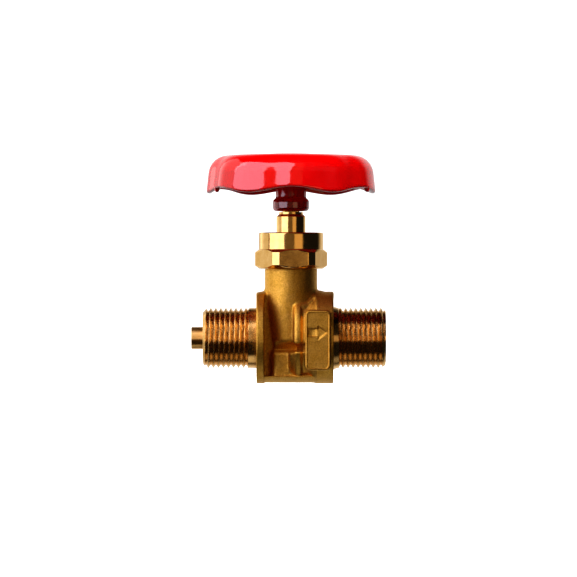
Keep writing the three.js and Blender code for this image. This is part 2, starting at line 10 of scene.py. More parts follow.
import bmesh
import bpy
import numpy as np
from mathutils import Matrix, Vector

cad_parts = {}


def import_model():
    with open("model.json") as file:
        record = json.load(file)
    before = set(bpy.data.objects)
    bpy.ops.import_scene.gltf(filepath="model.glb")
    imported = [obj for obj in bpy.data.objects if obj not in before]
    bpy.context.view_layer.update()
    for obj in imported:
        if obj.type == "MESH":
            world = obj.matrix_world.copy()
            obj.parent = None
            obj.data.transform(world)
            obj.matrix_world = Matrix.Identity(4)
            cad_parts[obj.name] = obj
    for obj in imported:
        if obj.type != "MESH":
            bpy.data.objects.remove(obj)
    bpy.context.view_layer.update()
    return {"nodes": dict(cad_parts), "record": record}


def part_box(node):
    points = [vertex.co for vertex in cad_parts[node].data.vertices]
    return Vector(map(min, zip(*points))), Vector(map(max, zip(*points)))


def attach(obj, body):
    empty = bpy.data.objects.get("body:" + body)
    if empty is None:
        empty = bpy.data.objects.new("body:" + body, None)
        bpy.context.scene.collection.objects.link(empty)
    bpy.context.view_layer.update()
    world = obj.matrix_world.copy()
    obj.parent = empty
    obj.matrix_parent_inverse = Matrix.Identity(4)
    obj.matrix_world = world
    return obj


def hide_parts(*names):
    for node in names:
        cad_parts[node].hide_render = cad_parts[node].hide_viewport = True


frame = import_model()

MM = 0.001
ARC_STEPS = 6  # straight pieces in a rounded corner
SHARP_ANGLE = math.radians(38)  # edges that turn by more than this stay sharp


def span(node, axis):
    """Lowest and highest place of a CAD node along an axis (0, 1 or 2), in millimetres."""
    low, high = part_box(node)
    return low[axis] / MM, high[axis] / MM


def radius_of(node):
    """Half of a round CAD node's width from front to back."""
    low, high = span(node, 1)
    return (high - low) / 2


# ---------------------------------------------------------------- sizes, in millimetres

_, OUTLET_FACE = span("valve_body", 0)
INLET_FACE = -31.8
BODY_LEFT = -12.5
DISC_INNER_FACE = -9.8
BODY_RIGHT = 15.3
END_DISC_R = 16.4
BARREL_R = 15.2
BAND_R = 16.1
BAND_TOP = -13.6
PAD_FACE = 17.1
GROOVE_FLOOR = 4.2  # half thickness of the body beside the boss
NOTCH_LOW, NOTCH_HIGH = -4.7, -1.9
NOTCH_FLOOR = 4.4  # half thickness of the body at the lower edge of the notch under the boss
PLATFORM_HALF = 7.3  # half thickness of the block below that

PIPE_MAJOR_R = 10.9
PIPE_PITCH = 25.4 / 14
PIPE_THREAD_DEPTH = 0.64 * PIPE_PITCH
SPIGOT_BORE_R = 3.0
DRILL_R = 2.8

NECK_R = 9.45
NECK_THREAD_R = 9.0
NECK_SHOULDER, NUT_TOP = span("packing_nut", 2)
NECK_TOP = 34.0
BOX_R = 7.2
STEM_R = 5.25
STEM_BOTTOM, STEM_TOP = span("stem", 2)
HUB_BOTTOM, CROWN_TOP = span("handwheel", 2)
WHEEL_TOP = CROWN_TOP - 0.55
WHEEL_R = span("handwheel", 0)[1]
RIM_Z = 52.2
LOBES = 6
VALLEY_DEPTH = 1.1
VALLEY_SHARPNESS = 3  # the higher, the narrower the valleys between round lobes
VALLEY_LEAN = math.radians(-10)  # from a valley's highest rim to its deepest line
VALLEY_LIFT = 1.8
WHEEL_WALL = 2.2

# ---------------------------------------------------------------- meshes


def piece_from_mesh(name, points, faces, body, replaced, slot, material):
    """A closed mesh from points in millimetres, riding on a CAD body in place of CAD nodes."""
    mesh = bpy.data.meshes.new(name)
    mesh.from_pydata([tuple(p) for p in np.asarray(points) * MM], [], faces)
    obj = bpy.data.objects.new(name, mesh)
    bpy.context.scene.collection.objects.link(obj)
    mesh.materials.append(material)
    finish_mesh(mesh)
    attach(obj, body)
    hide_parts(*replaced)
    return obj


def finish_mesh(mesh):
    """Points the faces outwards, shades them smooth and keeps the real edges sharp."""
    work = bmesh.new()
    work.from_mesh(mesh)
    bmesh.ops.remove_doubles(work, verts=work.verts, dist=1e-7)
    bmesh.ops.dissolve_degenerate(work, dist=1e-8, edges=work.edges)
    bmesh.ops.recalc_face_normals(work, faces=work.faces)
    for face in work.faces:
        face.smooth = True
    for edge in work.edges:
        edge.smooth = edge.calc_face_angle(0) < SHARP_ANGLE
    work.to_mesh(mesh)
    work.free()


def section(points, closed=True, step=None):
    """The (radius, height) points of a turned section. A corner with a third value is
    rounded to that radius, and with step no stretch is left longer than that."""
    corners = [np.array(point[:2], float) for point in points]
    path = []
    for i, point in enumerate(points):
        here = corners[i]
        rounding = point[2] if len(point) > 2 else 0
        if not rounding:
            path.append(here)
            continue
        back = corners[i - 1] - here
        ahead = corners[(i + 1) % len(points)] - here
        back /= np.linalg.norm(back)
        ahead /= np.linalg.norm(ahead)
        half = math.acos(np.clip(back @ ahead, -1, 1)) / 2
        middle = (back + ahead) / np.linalg.norm(back + ahead)
        centre = here + middle * rounding / math.sin(half)
        start = here + back * rounding / math.tan(half) - centre
        end = here + ahead * rounding / math.tan(half) - centre
        first = math.atan2(start[1], start[0])
        sweep = (math.atan2(end[1], end[0]) - first + math.pi) % (2 * math.pi) - math.pi
        for k in range(ARC_STEPS + 1):
            angle = first + sweep * k / ARC_STEPS
            path.append(centre + rounding * np.array([math.cos(angle), math.sin(angle)]))
    if step is None:
        return np.array(path)
    fine = []
    last = len(path) if closed else len(path) - 1
    for i in range(last):
        start, end = path[i], path[(i + 1) % len(path)]
        parts = max(1, math.ceil(np.linalg.norm(end - start) / step))
        fine += [start + (end - start) * k / parts for k in range(parts)]
    if not closed:
        fine.append(path[-1])
    return np.array(fine)


def even_angles(count):
    return np.arange(count) * 2 * math.pi / count


def turned_mesh(points, angles=None, shape=None, closed=True, along_pipe=False):
    """Points and faces of a section turned round the stem's axis or the pipe's. An open
    section starts and ends on the axis. shape(r, h, angle) may reshape the turned grid."""
    if angles is None:
        angles = even_angles(128)
    rows, columns = len(points), len(angles)
    r = np.repeat(points[:, :1], columns, 1)
    h = np.repeat(points[:, 1:], columns, 1)
    turn = np.repeat(angles[None, :], rows, 0)
    if shape:
        r, h = shape(r, h, turn)
    across, outward = r * np.sin(turn), -r * np.cos(turn)
    if along_pipe:
        grid = np.stack([h, outward, across], -1)
    else:
        grid = np.stack([across, outward, h], -1)
    faces = []
    for i in range(rows if closed else rows - 1):
        low, high = i * columns, (i + 1) % rows * columns
        for j in range(columns):
            k = (j + 1) % columns
            faces.append((low + j, low + k, high + k, high + j))
    return grid.reshape(-1, 3), faces


def turned(name, points, body, replaced, slot, material, step=None, **options):
    """A turned piece. Its section is a list of (radius, height[, rounding])."""
    closed = options.get("closed", True)
    mesh = turned_mesh(section(points, closed, step), **options)
    return piece_from_mesh(name, *mesh, body, replaced, slot, material)


def split_ring(name, inner, outer, low, high, gap, rise, body, replaced, slot, material):
    """A square-section ring with a gap in it. Its ends stand rise apart, as in a spring."""
    sides = 72
    edge = 0.12
    profile = section([
        (inner, low, edge),
        (outer, low, edge),
        (outer, high, edge),
        (inner, high, edge),
    ])
    free = math.asin(gap / 2 / outer)
    turns = np.linspace(free, 2 * math.pi - free, sides + 1)
    lift = np.linspace(-rise / 2, rise / 2, sides + 1)
    points = [
        (r * math.cos(turn), r * math.sin(turn), h + up)
        for turn, up in zip(turns, lift)
        for r, h in profile
    ]
    count = len(profile)
    faces = [tuple(range(count)), tuple(range(sides * count, (sides + 1) * count))]
    for i in range(sides):
        for j in range(count):
            k = (j + 1) % count
            faces.append((i * count + j, i * count + k, (i + 1) * count + k, (i + 1) * count + j))
    piece_from_mesh(name, points, faces, body, replaced, slot, material)


# ---------------------------------------------------------------- smooth solids by distance


def smooth_step(value, low, high):
    t = np.clip((value - low) / (high - low), 0, 1)
    return t * t * (3 - 2 * t)


def join(a, b, fillet):
    """Union of two distance fields with a fillet of about that radius."""
    near = np.maximum(fillet - np.abs(a - b), 0) / fillet
    return np.minimum(a, b) - near * near * fillet / 4


def meet(a, b, rounding):
    """Intersection of two distance fields with a rounded edge."""
    return -join(-a, -b, rounding)


def slab(value, low, high):
    return np.abs(value - (low + high) / 2) - (high - low) / 2


def rounded_meet(a, b, rounding):
    """Intersection with an edge rounded to exactly that radius."""
    u, v = a + rounding, b + rounding
    outside = np.hypot(np.maximum(u, 0), np.maximum(v, 0))
    return np.minimum(np.maximum(u, v), 0) + outside - rounding


def rounded_rectangle(u, v, u0, u1, v0, v1, corner):
    return rounded_meet(slab(u, u0, u1), slab(v, v0, v1), corner)


def polygon_distance(u, v, corners):
    """Signed distance to a polygon in the plane, negative inside."""
    nearest = np.full(u.shape, np.inf)
    inside = np.zeros(u.shape, bool)
    for (u0, v0), (u1, v1) in zip(corners, corners[1:] + corners[:1]):
        du, dv = u1 - u0, v1 - v0
        along = np.clip(((u - u0) * du + (v - v0) * dv) / (du * du + dv * dv), 0, 1)
        nearest = np.minimum(nearest, np.hypot(u - u0 - along * du, v - v0 - along * dv))
        crosses = (v0 > v) != (v1 > v)
        if dv:
            inside ^= crosses & (u < u0 + (v - v0) * du / dv)
    return np.where(inside, -nearest, nearest)


def net_surface(distance, low, high, cell):
    """A closed quad mesh of the surface where distance(x, y, z) is 0, by surface nets."""
    axes = [np.arange(a, b + cell, cell) for a, b in zip(low, high)]
    x, y, z = np.meshgrid(*axes, indexing="ij")
    value = distance(x, y, z)
    inside = value < 0
    corners = [(i, j, k) for i in (0, 1) for j in (0, 1) for k in (0, 1)]
    cells = tuple(n - 1 for n in inside.shape)

    def corner(field, i, j, k):
        return field[i:i + cells[0], j:j + cells[1], k:k + cells[2]]

    count = sum(corner(inside, *c).astype(np.int8) for c in corners)
    active = (count > 0) & (count < 8)
    number = np.full(cells, -1)
    number[active] = np.arange(active.sum())
    total = np.zeros((active.sum(), 3))
    crossings = np.zeros(active.sum())
    for a in corners:
        for axis in range(3):
            if a[axis]:
                continue
            b = tuple(1 if n == axis else a[n] for n in range(3))
            va, vb = corner(value, *a)[active], corner(value, *b)[active]
            cut = (va < 0) != (vb < 0)
            place = np.tile(np.array(a, float), (len(va), 1))
            place[cut, axis] = va[cut] / (va[cut] - vb[cut])
            total[cut] += place[cut]
            crossings += cut
    index = np.argwhere(active)
    points = (index + total / crossings[:, None]) * cell + np.array(low)
    faces = []
    for axis in range(3):
        first, second = [n for n in range(3) if n != axis]
        start = [slice(1, -1)] * 3
        start[axis] = slice(0, -1)
        end = [slice(1, -1)] * 3
        end[axis] = slice(1, None)
        changes = inside[tuple(start)] != inside[tuple(end)]
        where = np.argwhere(changes)
        base = where.copy()
        base[:, first] += 1
        base[:, second] += 1
        ring = []
        for step_first, step_second in ((0, 0), (-1, 0), (-1, -1), (0, -1)):
            at = base.copy()
            at[:, first] += step_first
            at[:, second] += step_second
            ring.append(number[at[:, 0], at[:, 1], at[:, 2]])
        faces.append(np.stack(ring, 1))
    points = settle(points, distance, cell)
    return points, np.concatenate(faces).tolist()


def settle(points, distance, cell):
    """Moves points that are near the surface on to it."""
    reach = 0.02
    for _ in range(3):
        here = distance(*points.T)
        slope = np.stack([
            (distance(*(points + reach * axis).T) - distance(*(points - reach * axis).T)) / (2 * reach)
            for axis in np.eye(3)
        ], 1)
        move = here[:, None] * slope / np.maximum((slope ** 2).sum(1), 0.2)[:, None]
        length = np.linalg.norm(move, axis=1)
        limit = np.minimum(1, 0.4 * cell / np.maximum(length, 1e-9))
        points = points - move * limit[:, None]
    return points


# ---------------------------------------------------------------- materials


class Nodes:
    """A short way to add and join the shader nodes of one material."""

    def __init__(self, name):
        self.material = bpy.data.materials.new(name)
        self.material.use_nodes = True
        self.tree = self.material.node_tree
        self.shader = self.tree.nodes["Principled BSDF"]

    def add(self, kind, inputs=None, **settings):
        node = self.tree.nodes.new(kind)
        for key, value in settings.items():
            setattr(node, key, value)
        for key, value in (inputs or {}).items():
            self.put(node.inputs[key], value)
        return node

    def put(self, socket, value):
        if isinstance(value, bpy.types.NodeSocket):
            self.tree.links.new(value, socket)
        else:
            socket.default_value = value

    def noise(self, vector, size, detail=2.0, roughness=0.5):
        """Noise with features of about that size in millimetres."""
        inputs = {"Vector": vector, "Scale": 1 / (size * MM), "Detail": detail, "Roughness": roughness}
        return self.add("ShaderNodeTexNoise", inputs).outputs["Fac"]

    def between(self, factor, low, high):
        """low to high as factor goes from 0.3 to 0.7, the usual reach of noise."""
        inputs = {"Value": factor, "From Min": 0.3, "From Max": 0.7, "To Min": low, "To Max": high}
        return self.add("ShaderNodeMapRange", inputs).outputs["Result"]

    def mix(self, factor, first, second):
        node = self.add("ShaderNodeMix", data_type="RGBA")
        self.put(node.inputs["Factor"], factor)
        self.put(node.inputs["A"], first)
        self.put(node.inputs["B"], second)
        return node.outputs["Result"]

    def bump(self, height, depth, strength, normal=None):
        """depth is in millimetres."""
        inputs = {"Height": height, "Distance": depth * MM, "Strength": strength}
        if normal:
            inputs["Normal"] = normal
        return self.add("ShaderNodeBump", inputs).outputs["Normal"]

    def place(self):
        return self.add("ShaderNodeTexCoord").outputs["Object"]

    def stretched(self, vector, scale):
        """The place stretched along each axis, so that noise turns into lines."""
        inputs = {"Vector": vector, "Scale": scale}
        return self.add("ShaderNodeMapping", inputs).outputs["Vector"]

    def set(self, **values):
        for key, value in values.items():
            self.put(self.shader.inputs[key.replace("_", " ")], value)


def forged_brass():
    """Hot-forged and shot-blasted: satin, with a fine darker grain and faint patches."""
    nodes = Nodes("forged_brass")
    place = nodes.place()
    grain = nodes.noise(place, 0.5, 4, 0.7)
    patches = nodes.noise(place, 4.5, 3, 0.55)
    colour = nodes.mix(nodes.between(patches, 0, 1), (0.86, 0.51, 0.10, 1), (0.97, 0.62, 0.16, 1))
    colour = nodes.mix(nodes.between(grain, 0, 0.7), colour, (0.52, 0.26, 0.03, 1))
    normal = nodes.bump(grain, 0.2, 0.7)
    normal = nodes.bump(nodes.noise(place, 2.2, 2), 0.2, 0.4, normal)
    nodes.set(
        Base_Color=colour,
        Metallic=1.0,
        Roughness=nodes.between(grain, 0.40, 0.54),
        Normal=normal,
    )
    return nodes.material


def turned_brass(name, axis, fineness, roughness, anisotropy):
    """Bright from the lathe. Fine rings round the axis spread reflections along it."""
    nodes = Nodes(name)
    place = nodes.place()
    scale = [1.0 if letter == axis else 0.04 for letter in "XYZ"]
    rings = nodes.noise(nodes.stretched(place, scale), 0.3, 3, 0.65)
    around = nodes.add("ShaderNodeTangent", direction_type="RADIAL", axis=axis)
    stain = nodes.noise(place, 3.0, 3, 0.55)
    colour = nodes.mix(nodes.between(stain, 0, 1), (0.80, 0.49, 0.17, 1), (0.90, 0.59, 0.25, 1))
    nodes.set(
        Base_Color=colour,
        Metallic=1.0,
        Roughness=nodes.between(stain, roughness - 0.04, roughness + 0.04),
        Normal=nodes.bump(rings, fineness, 0.5),
        Tangent=around.outputs["Tangent"],
        Anisotropic=anisotropy,
        Anisotropic_Rotation=0.25,
    )
    return nodes.material


def red_coating():
    """Thick glossy dip coating with a slight orange peel. Its IOR is above a real coating's,
    to make its highlights bright."""
    nodes = Nodes("red_coating")
    place = nodes.place()
    cloud = nodes.noise(place, 9.0, 2)
    colour = nodes.mix(nodes.between(cloud, 0, 1), (0.80, 0.0, 0.0015, 1), (0.92, 0.001, 0.003, 1))
    normal = nodes.bump(nodes.noise(place, 3.4, 2), 0.12, 0.16)
    nodes.set(
        Base_Color=colour,
        Roughness=nodes.between(cloud, 0.06, 0.11),
        IOR=2.0,
        Normal=normal,
    )
    return nodes.material


def zinc_steel():
    """Bright zinc plate with faint clouding."""
    nodes = Nodes("zinc_steel")
    place = nodes.place()
    cloud = nodes.noise(place, 1.2, 3)
    colour = nodes.mix(nodes.between(cloud, 0, 1), (0.52, 0.54, 0.56, 1), (0.68, 0.69, 0.70, 1))
    nodes.set(
        Base_Color=colour,
        Metallic=1.0,
        Roughness=nodes.between(cloud, 0.22, 0.36),
        Normal=nodes.bump(nodes.noise(place, 0.3, 2), 0.01, 0.4),
    )
    return nodes.material


def white_polymer():
    """Skived white sealing polymer, waxy and a little mottled."""
    nodes = Nodes("white_polymer")
    place = nodes.place()
    cloud = nodes.noise(place, 1.5, 3)
    colour = nodes.mix(nodes.between(cloud, 0, 1), (0.74, 0.72, 0.66, 1), (0.84, 0.83, 0.79, 1))
    nodes.set(
        Base_Color=colour,
        Roughness=nodes.between(cloud, 0.38, 0.55),
        Normal=nodes.bump(nodes.noise(place, 0.4, 2), 0.02, 0.4),
    )
    return nodes.material


FORGED = forged_brass()
PIPE_TURNED = turned_brass("turned_brass_pipe", "X", 0.04, 0.26, 0.9)
SPIGOT_TURNED = turned_brass("turned_brass_spigot", "X", 0.04, 0.40, 0.95)
STEM_TURNED = turned_brass("turned_brass_stem", "Z", 0.02, 0.15, 0.4)
RED = red_coating()
ZINC = zinc_steel()
POLYMER = white_polymer()

# ---------------------------------------------------------------- the forging


def drum(x, pipe_r, x0, x1, radius, edge):
    """A round on the pipe's axis with rounded rims."""
    return rounded_meet(pipe_r - radius, slab(x, x0, x1), edge)


def boss(x, side, z):
    """The neck, and below it the boss that narrows over the waist and squares up."""
    bottom = -1.8
    narrowing = np.clip((16 - z) / 18, 0, 1)
    half_width = NECK_R - 2.2 * narrowing
    half_depth = NECK_R - 0.7 * narrowing
    power = 2 + 0.25 * smooth_step(z, 17, 10)
    u, v = np.abs(x) / half_width + 1e-6, side / half_depth + 1e-6
    near = (u ** power + v ** power) ** (1 / power)
    slope_u = (u / near) ** (power - 1) / half_width
    slope_v = (v / near) ** (power - 1) / half_depth
    wall = (near - 1) / np.hypot(slope_u, slope_v)
    return np.maximum(meet(wall, bottom - z, 1.6), z - NECK_SHOULDER)


def arrow(x, z):
    """The flow arrow, pointing with the flow."""
    tail, head, tip = 5.9, 9.6, 13.0
    middle, shaft, barb = 2.1, 1.45, 2.6
    return polygon_distance(x, z, [
        (tail, middle - shaft),
        (head, middle - shaft),
        (head, middle - barb),
        (tip, middle),
        (head, middle + barb),
        (head, middle + shaft),
        (tail, middle + shaft),
    ])


def pad(x, side, z):
    """The raised spanner pad: a bright rim round a slightly sunken face, and the arrow."""
    left, right, low, high = 5.1, 14.1, -11.4, 10.0
    buried = 9.0
    rim = 0.65
    sunk = 0.3
    arrow_depth = 1.0
    block = rounded_meet(
        rounded_rectangle(x, z, left, right, low, high, 1.8),
        slab(side, buried, PAD_FACE),
        0.45,
    )
    inside = rounded_rectangle(x, z, left + rim, right - rim, low + rim, high - rim, 1.2)
    face = np.maximum(inside, PAD_FACE - sunk - side)
    cut = np.maximum(arrow(x, z), PAD_FACE - sunk - arrow_depth - side)
    return np.maximum(np.maximum(block, -face), -cut)


def chamber_shell(x, side, z, pipe_r, stem_r):
    """The barrel round the outlet chamber, widening to the disc beyond the spanner pad, with a
    welt along its edge and the foot of the neck. Under the boss its edge lies further back, and
    a notch runs into it and fades out."""
    upper_edge, lower_edge = 0.9, -0.7
    welt_width, foot_width = 3.0, 1.9
    swell = (END_DISC_R - BARREL_R) * smooth_step(x, 5.5, 9.0)
    wall = pipe_r - BARREL_R - swell
    upper = rounded_meet(wall + 0.4, upper_edge - x, 1.6)
    neck_foot = np.maximum(stem_r - NECK_R - foot_width, -z)
    edging = np.minimum(x - upper_edge - welt_width, neck_foot)
    welt = rounded_meet(rounded_meet(wall - 0.4, edging, 0.8), upper_edge - x, 1.4)
    upper = join(upper, welt, 0.5)
    lower = meet(rounded_meet(wall + 0.8, lower_edge - x, 1.8), z - NOTCH_LOW, 1.4)
    notch_floor = NOTCH_FLOOR + 9.5 * smooth_step(x, 1.5, 5.0)
    notch = np.maximum(slab(z, NOTCH_LOW, NOTCH_HIGH), (notch_floor - side) * 0.6)
    barrel = meet(join(upper, lower, 0.8), -notch, 0.8)
    return np.maximum(barrel, x - BODY_RIGHT + 1)


def forging(x, y, z):
    """Distance to the forging, the same on the front and the back. From the inside out it is
    the core with its block and notch, the barrel, the boss, the band under them, the end
    discs and the spanner pad. Nothing below the pipe's axis reaches past the discs."""
    side = np.abs(y)
    pipe_r = np.hypot(side, z)
    stem_r = np.hypot(x, side)
    core = np.maximum(drum(x, pipe_r, -11, 11, BAND_R - 0.1, 0.3), side - GROOVE_FLOOR)
    platform = rounded_meet(
        rounded_rectangle(x, z, -7.0, 8, -16, -4.4, 1.4),
        side - PLATFORM_HALF,
        2.0,
    )
    overhang = (side - NOTCH_FLOOR - 0.9 * (z - NOTCH_LOW)) * 0.75
    recess = rounded_meet(rounded_rectangle(x, z, -6.2, 6, -6, -1.2, 0.8), overhang, 0.6)
    solid = np.maximum(join(core, platform, 1.8), pipe_r - BAND_R + 0.1)
    solid = join(solid, recess, 0.8)
    solid = join(solid, chamber_shell(x, side, z, pipe_r, stem_r), 0.8)
    solid = join(solid, boss(x, side, z), 0.7)
    band = meet(drum(x, pipe_r, -10.5, 9, BAND_R, 0.3), z - BAND_TOP, 0.5)
    solid = join(solid, band, 0.25)
    left = np.maximum(
        drum(x, pipe_r, BODY_LEFT, DISC_INNER_FACE + 1, END_DISC_R, 0.5),
        x - DISC_INNER_FACE,
    )
    right = drum(x, pipe_r, 9.0, BODY_RIGHT, END_DISC_R, 0.4)
    fillet = 0.6 + 1.7 * smooth_step(z, 12, 16)
    solid = join(solid, np.minimum(left, right), fillet)
    solid = np.maximum(solid, np.where(z < 0, pipe_r - END_DISC_R, solid))
    solid = join(solid, pad(x, side, z), 0.5)
    thread = np.maximum(stem_r - NECK_THREAD_R, slab(z, 20, NECK_TOP))
    return np.minimum(solid, thread)


def cutter(points, along_pipe=False):
    """A turned tool for boolean cuts, not shown."""
    grid, faces = turned_mesh(section(points, False), even_angles(64), None, False, along_pipe)
    mesh = bpy.data.meshes.new("cutter")
    mesh.from_pydata([tuple(p) for p in grid * MM], [], faces)
    finish_mesh(mesh)
    obj = bpy.data.objects.new("cutter", mesh)
    bpy.context.scene.collection.objects.link(obj)
    return obj


def cut_away(obj, tools):
    """Cuts the tools out of obj and deletes them."""
    for tool in tools:
        change = obj.modifiers.new("cut", "BOOLEAN")
        change.operation = "DIFFERENCE"
        change.solver = "MANIFOLD"
        change.object = tool
    bpy.context.view_layer.update()
    evaluated = obj.evaluated_get(bpy.context.evaluated_depsgraph_get())
    result = bpy.data.meshes.new_from_object(evaluated)
    obj.modifiers.clear()
    obj.data = result
    finish_mesh(result)
    for tool in tools:
        bpy.data.objects.remove(tool)


def drilling(radius, start, end):
    """A straight drilling between two points of the upright plane through the pipe."""
    run = Vector((end[0] - start[0], 0, end[1] - start[1]))
    tool = cutter([(0, 0), (radius, 0), (radius, run.length), (0, run.length)])
    tool.data.transform(run.to_track_quat("Z", "Y").to_matrix().to_4x4())
    for vertex in tool.data.vertices:
        vertex.co += Vector((start[0], 0, start[1])) * MM
    return tool


def make_forging():
    """The forging's surface, with what is bored and drilled into it cut away."""
    cell = 0.3
    seat_r, well_r, chamber_r = 5, 3, 6.5
    chamber_top = 13.5
    low = (BODY_LEFT - 0.95, -PAD_FACE - 1.03, -END_DISC_R - 0.97)
    high = (BODY_RIGHT + 1, PAD_FACE + 1, NECK_TOP + 1)
    points, faces = net_surface(forging, low, high, cell)
    obj = piece_from_mesh("valve_forging", points, faces, "body", ["valve_body"], "forged_brass", FORGED)
    chamber = cutter([
        (0, -8),
        (well_r, -8),
        (well_r, -1.5),
        (seat_r, -1.5),
        (seat_r, 1.5),
        (chamber_r, 1.5),
        (chamber_r, chamber_top),
        (0, chamber_top),
    ])
    drive_thread = cutter([(0, 13), (6.2, 13), (6.2, 23.4), (0, 23.4)])
    box = cutter([(0, 23), (BOX_R, 23), (BOX_R, NECK_TOP + 1), (0, NECK_TOP + 1)])
    inlet = drilling(DRILL_R, (-16, -1), (0, -5))
    outlet = drilling(DRILL_R, (3.5, 5.6), (17, 2))
    cut_away(obj, [chamber, drive_thread, box, inlet, outlet])


# ---------------------------------------------------------------- pipe threads


def pipe_thread(start, end, hand, crest_at):
    """A shape function for turned_mesh that leaves a Whitworth thread between two places.
    It fades out past them. crest_at is where a crest passes the front of the pipe."""
    root = PIPE_MAJOR_R - PIPE_THREAD_DEPTH
    low, high = min(start, end), max(start, end)

    def shape(r, h, turn):
        phase = (h - crest_at) / PIPE_PITCH - hand * turn / (2 * math.pi)
        wave = (1 + np.cos(2 * math.pi * phase)) / 2
        beyond = np.maximum(np.maximum(low - h, h - high), 0)
        surface = root + PIPE_THREAD_DEPTH * wave + beyond * 1.6
        return np.minimum(r, surface), h

    return shape


def inlet_stub():
    """Right-hand thread, with a plain shank against the body."""
    bore = span("inlet_spigot", 1)[1] + 0.15
    inside = BODY_LEFT + 0.4
    shank_end, crest_at = -15.8, -29.4
    turned(
        "inlet_stub",
        [
            (bore, inside),
            (PIPE_MAJOR_R, inside),
            (PIPE_MAJOR_R, INLET_FACE + 1.4, 0.3),
            (PIPE_MAJOR_R - 1.5, INLET_FACE, 0.25),
            (bore, INLET_FACE, 0.2),
        ],
        "body", ["valve_body"], "turned_brass", PIPE_TURNED,
        step=0.13,
        angles=even_angles(160),
        shape=pipe_thread(INLET_FACE - 5, shank_end, 1, crest_at),
        along_pipe=True,
    )


def outlet_stub():
    """Left-hand thread in front of a short cone, with a drilled port."""
    port_r = 6.0
    inside = BODY_RIGHT - 0.4
    floor = 24.0
    crest_at = 18.4
    turned(
        "outlet_stub",
        [
            (DRILL_R, inside),
            (11.4, inside),
            (11.4, BODY_RIGHT),
            (10.75, BODY_RIGHT + 2.4, 0.3),
            (PIPE_MAJOR_R, BODY_RIGHT + 2.8, 0.1),
            (PIPE_MAJOR_R, OUTLET_FACE - 1.5, 0.3),
            (PIPE_MAJOR_R - 1.1, OUTLET_FACE, 0.25),
            (port_r + 0.5, OUTLET_FACE, 0.1),
            (port_r, OUTLET_FACE - 0.5, 0.1),
            (port_r, floor, 0.2),
            (DRILL_R, floor - 1.6),
        ],
        "body", ["valve_body"], "turned_brass", PIPE_TURNED,
        step=0.13,
        angles=even_angles(160),
        shape=pipe_thread(BODY_RIGHT + 2.5, OUTLET_FACE + 5, -1, crest_at),
        along_pipe=True,
    )


def inlet_spigot():
    low, high = span("inlet_spigot", 0)
    outer, bore = radius_of("inlet_spigot"), SPIGOT_BORE_R
    turned(
        "spigot_tube",
        [(bore, low, 0.2), (outer, low, 0.35), (outer, high, 0.2), (bore, high, 0.2)],
        "body", ["inlet_spigot"], "turned_brass", SPIGOT_TURNED,
        angles=even_angles(96),
        along_pipe=True,
    )


# ---------------------------------------------------------------- packing nut

HEX_FLATS = 24.0
HEX_CORNER_R = 13.1  # its corners are turned down to this
HEX_TURN = math.radians(5.3)  # how far the front flat is turned to the right
COLLAR_R = 11.7
HEX_TOP = 32.0


def hexagon_r(turn, flats, corner_r, turned_by):
    """Radius in each direction of a hexagon whose corners are turned down to corner_r."""
    from_flat = (turn - turned_by + math.pi / 6) % (math.pi / 3) - math.pi / 6
    return np.minimum(flats / 2 / np.cos(from_flat), corner_r)


def hexagon_angles(flats, corner_r, turned_by):
    """Even angles, with two more beside each place where a flat meets a corner."""
    half_flat = math.acos(flats / 2 / corner_r)
    close = np.array([-0.006, 0.006])
    middles = turned_by + np.arange(6) * math.pi / 3
    edges = [middles[:, None] + side * half_flat + close for side in (-1, 1)]
    every = np.concatenate([even_angles(144)] + [edge.ravel() % (2 * math.pi) for edge in edges])
    return np.unique(np.round(every, 6))


def packing_nut():
    """A chamfered hexagon under a round collar."""

    def shape(r, h, turn):
        hexagon = hexagon_r(turn, HEX_FLATS, HEX_CORNER_R, HEX_TURN)
        on_hexagon = (r > NECK_THREAD_R + 2) & (h < HEX_TOP + 0.01)
        return np.where(on_hexagon, np.minimum(r, hexagon), r), h

    turned(
        "gland_nut",
        [
            (NECK_THREAD_R + 0.15, NECK_SHOULDER),
            (HEX_CORNER_R - 1.6, NECK_SHOULDER),
            (HEX_CORNER_R, NECK_SHOULDER + 1.2, 0.4),
            (HEX_CORNER_R, HEX_TOP - 1.1, 0.4),
            (HEX_CORNER_R - 1.3, HEX_TOP),
            (COLLAR_R, HEX_TOP + 0.02, 0.1),
            (COLLAR_R, NUT_TOP, 0.5),
            (STEM_R + 0.35, NUT_TOP, 0.3),
            (STEM_R + 0.35, NECK_TOP + 2),
            (NECK_THREAD_R + 0.15, NECK_TOP + 2),
        ],
        "body", ["packing_nut"], "turned_brass", STEM_TURNED,
        step=0.5,
        angles=hexagon_angles(HEX_FLATS, HEX_CORNER_R, HEX_TURN),
        shape=shape,
    )


# ---------------------------------------------------------------- handwheel

DRIPS = [math.radians(a) for a in (-69, 68)]  # runs of coating under the rim
DRIP_LENGTH = 1.1
DRIP_HALF_WIDTH = math.radians(1.1)


def wheel_angles():
    """Even angles, with more of them near the drips."""
    close = np.radians(np.linspace(-2.8, 2.8, 21))
    near = (np.array(DRIPS)[:, None] + close).ravel() % (2 * math.pi)
    return np.unique(np.round(np.concatenate([even_angles(300), near]), 6))


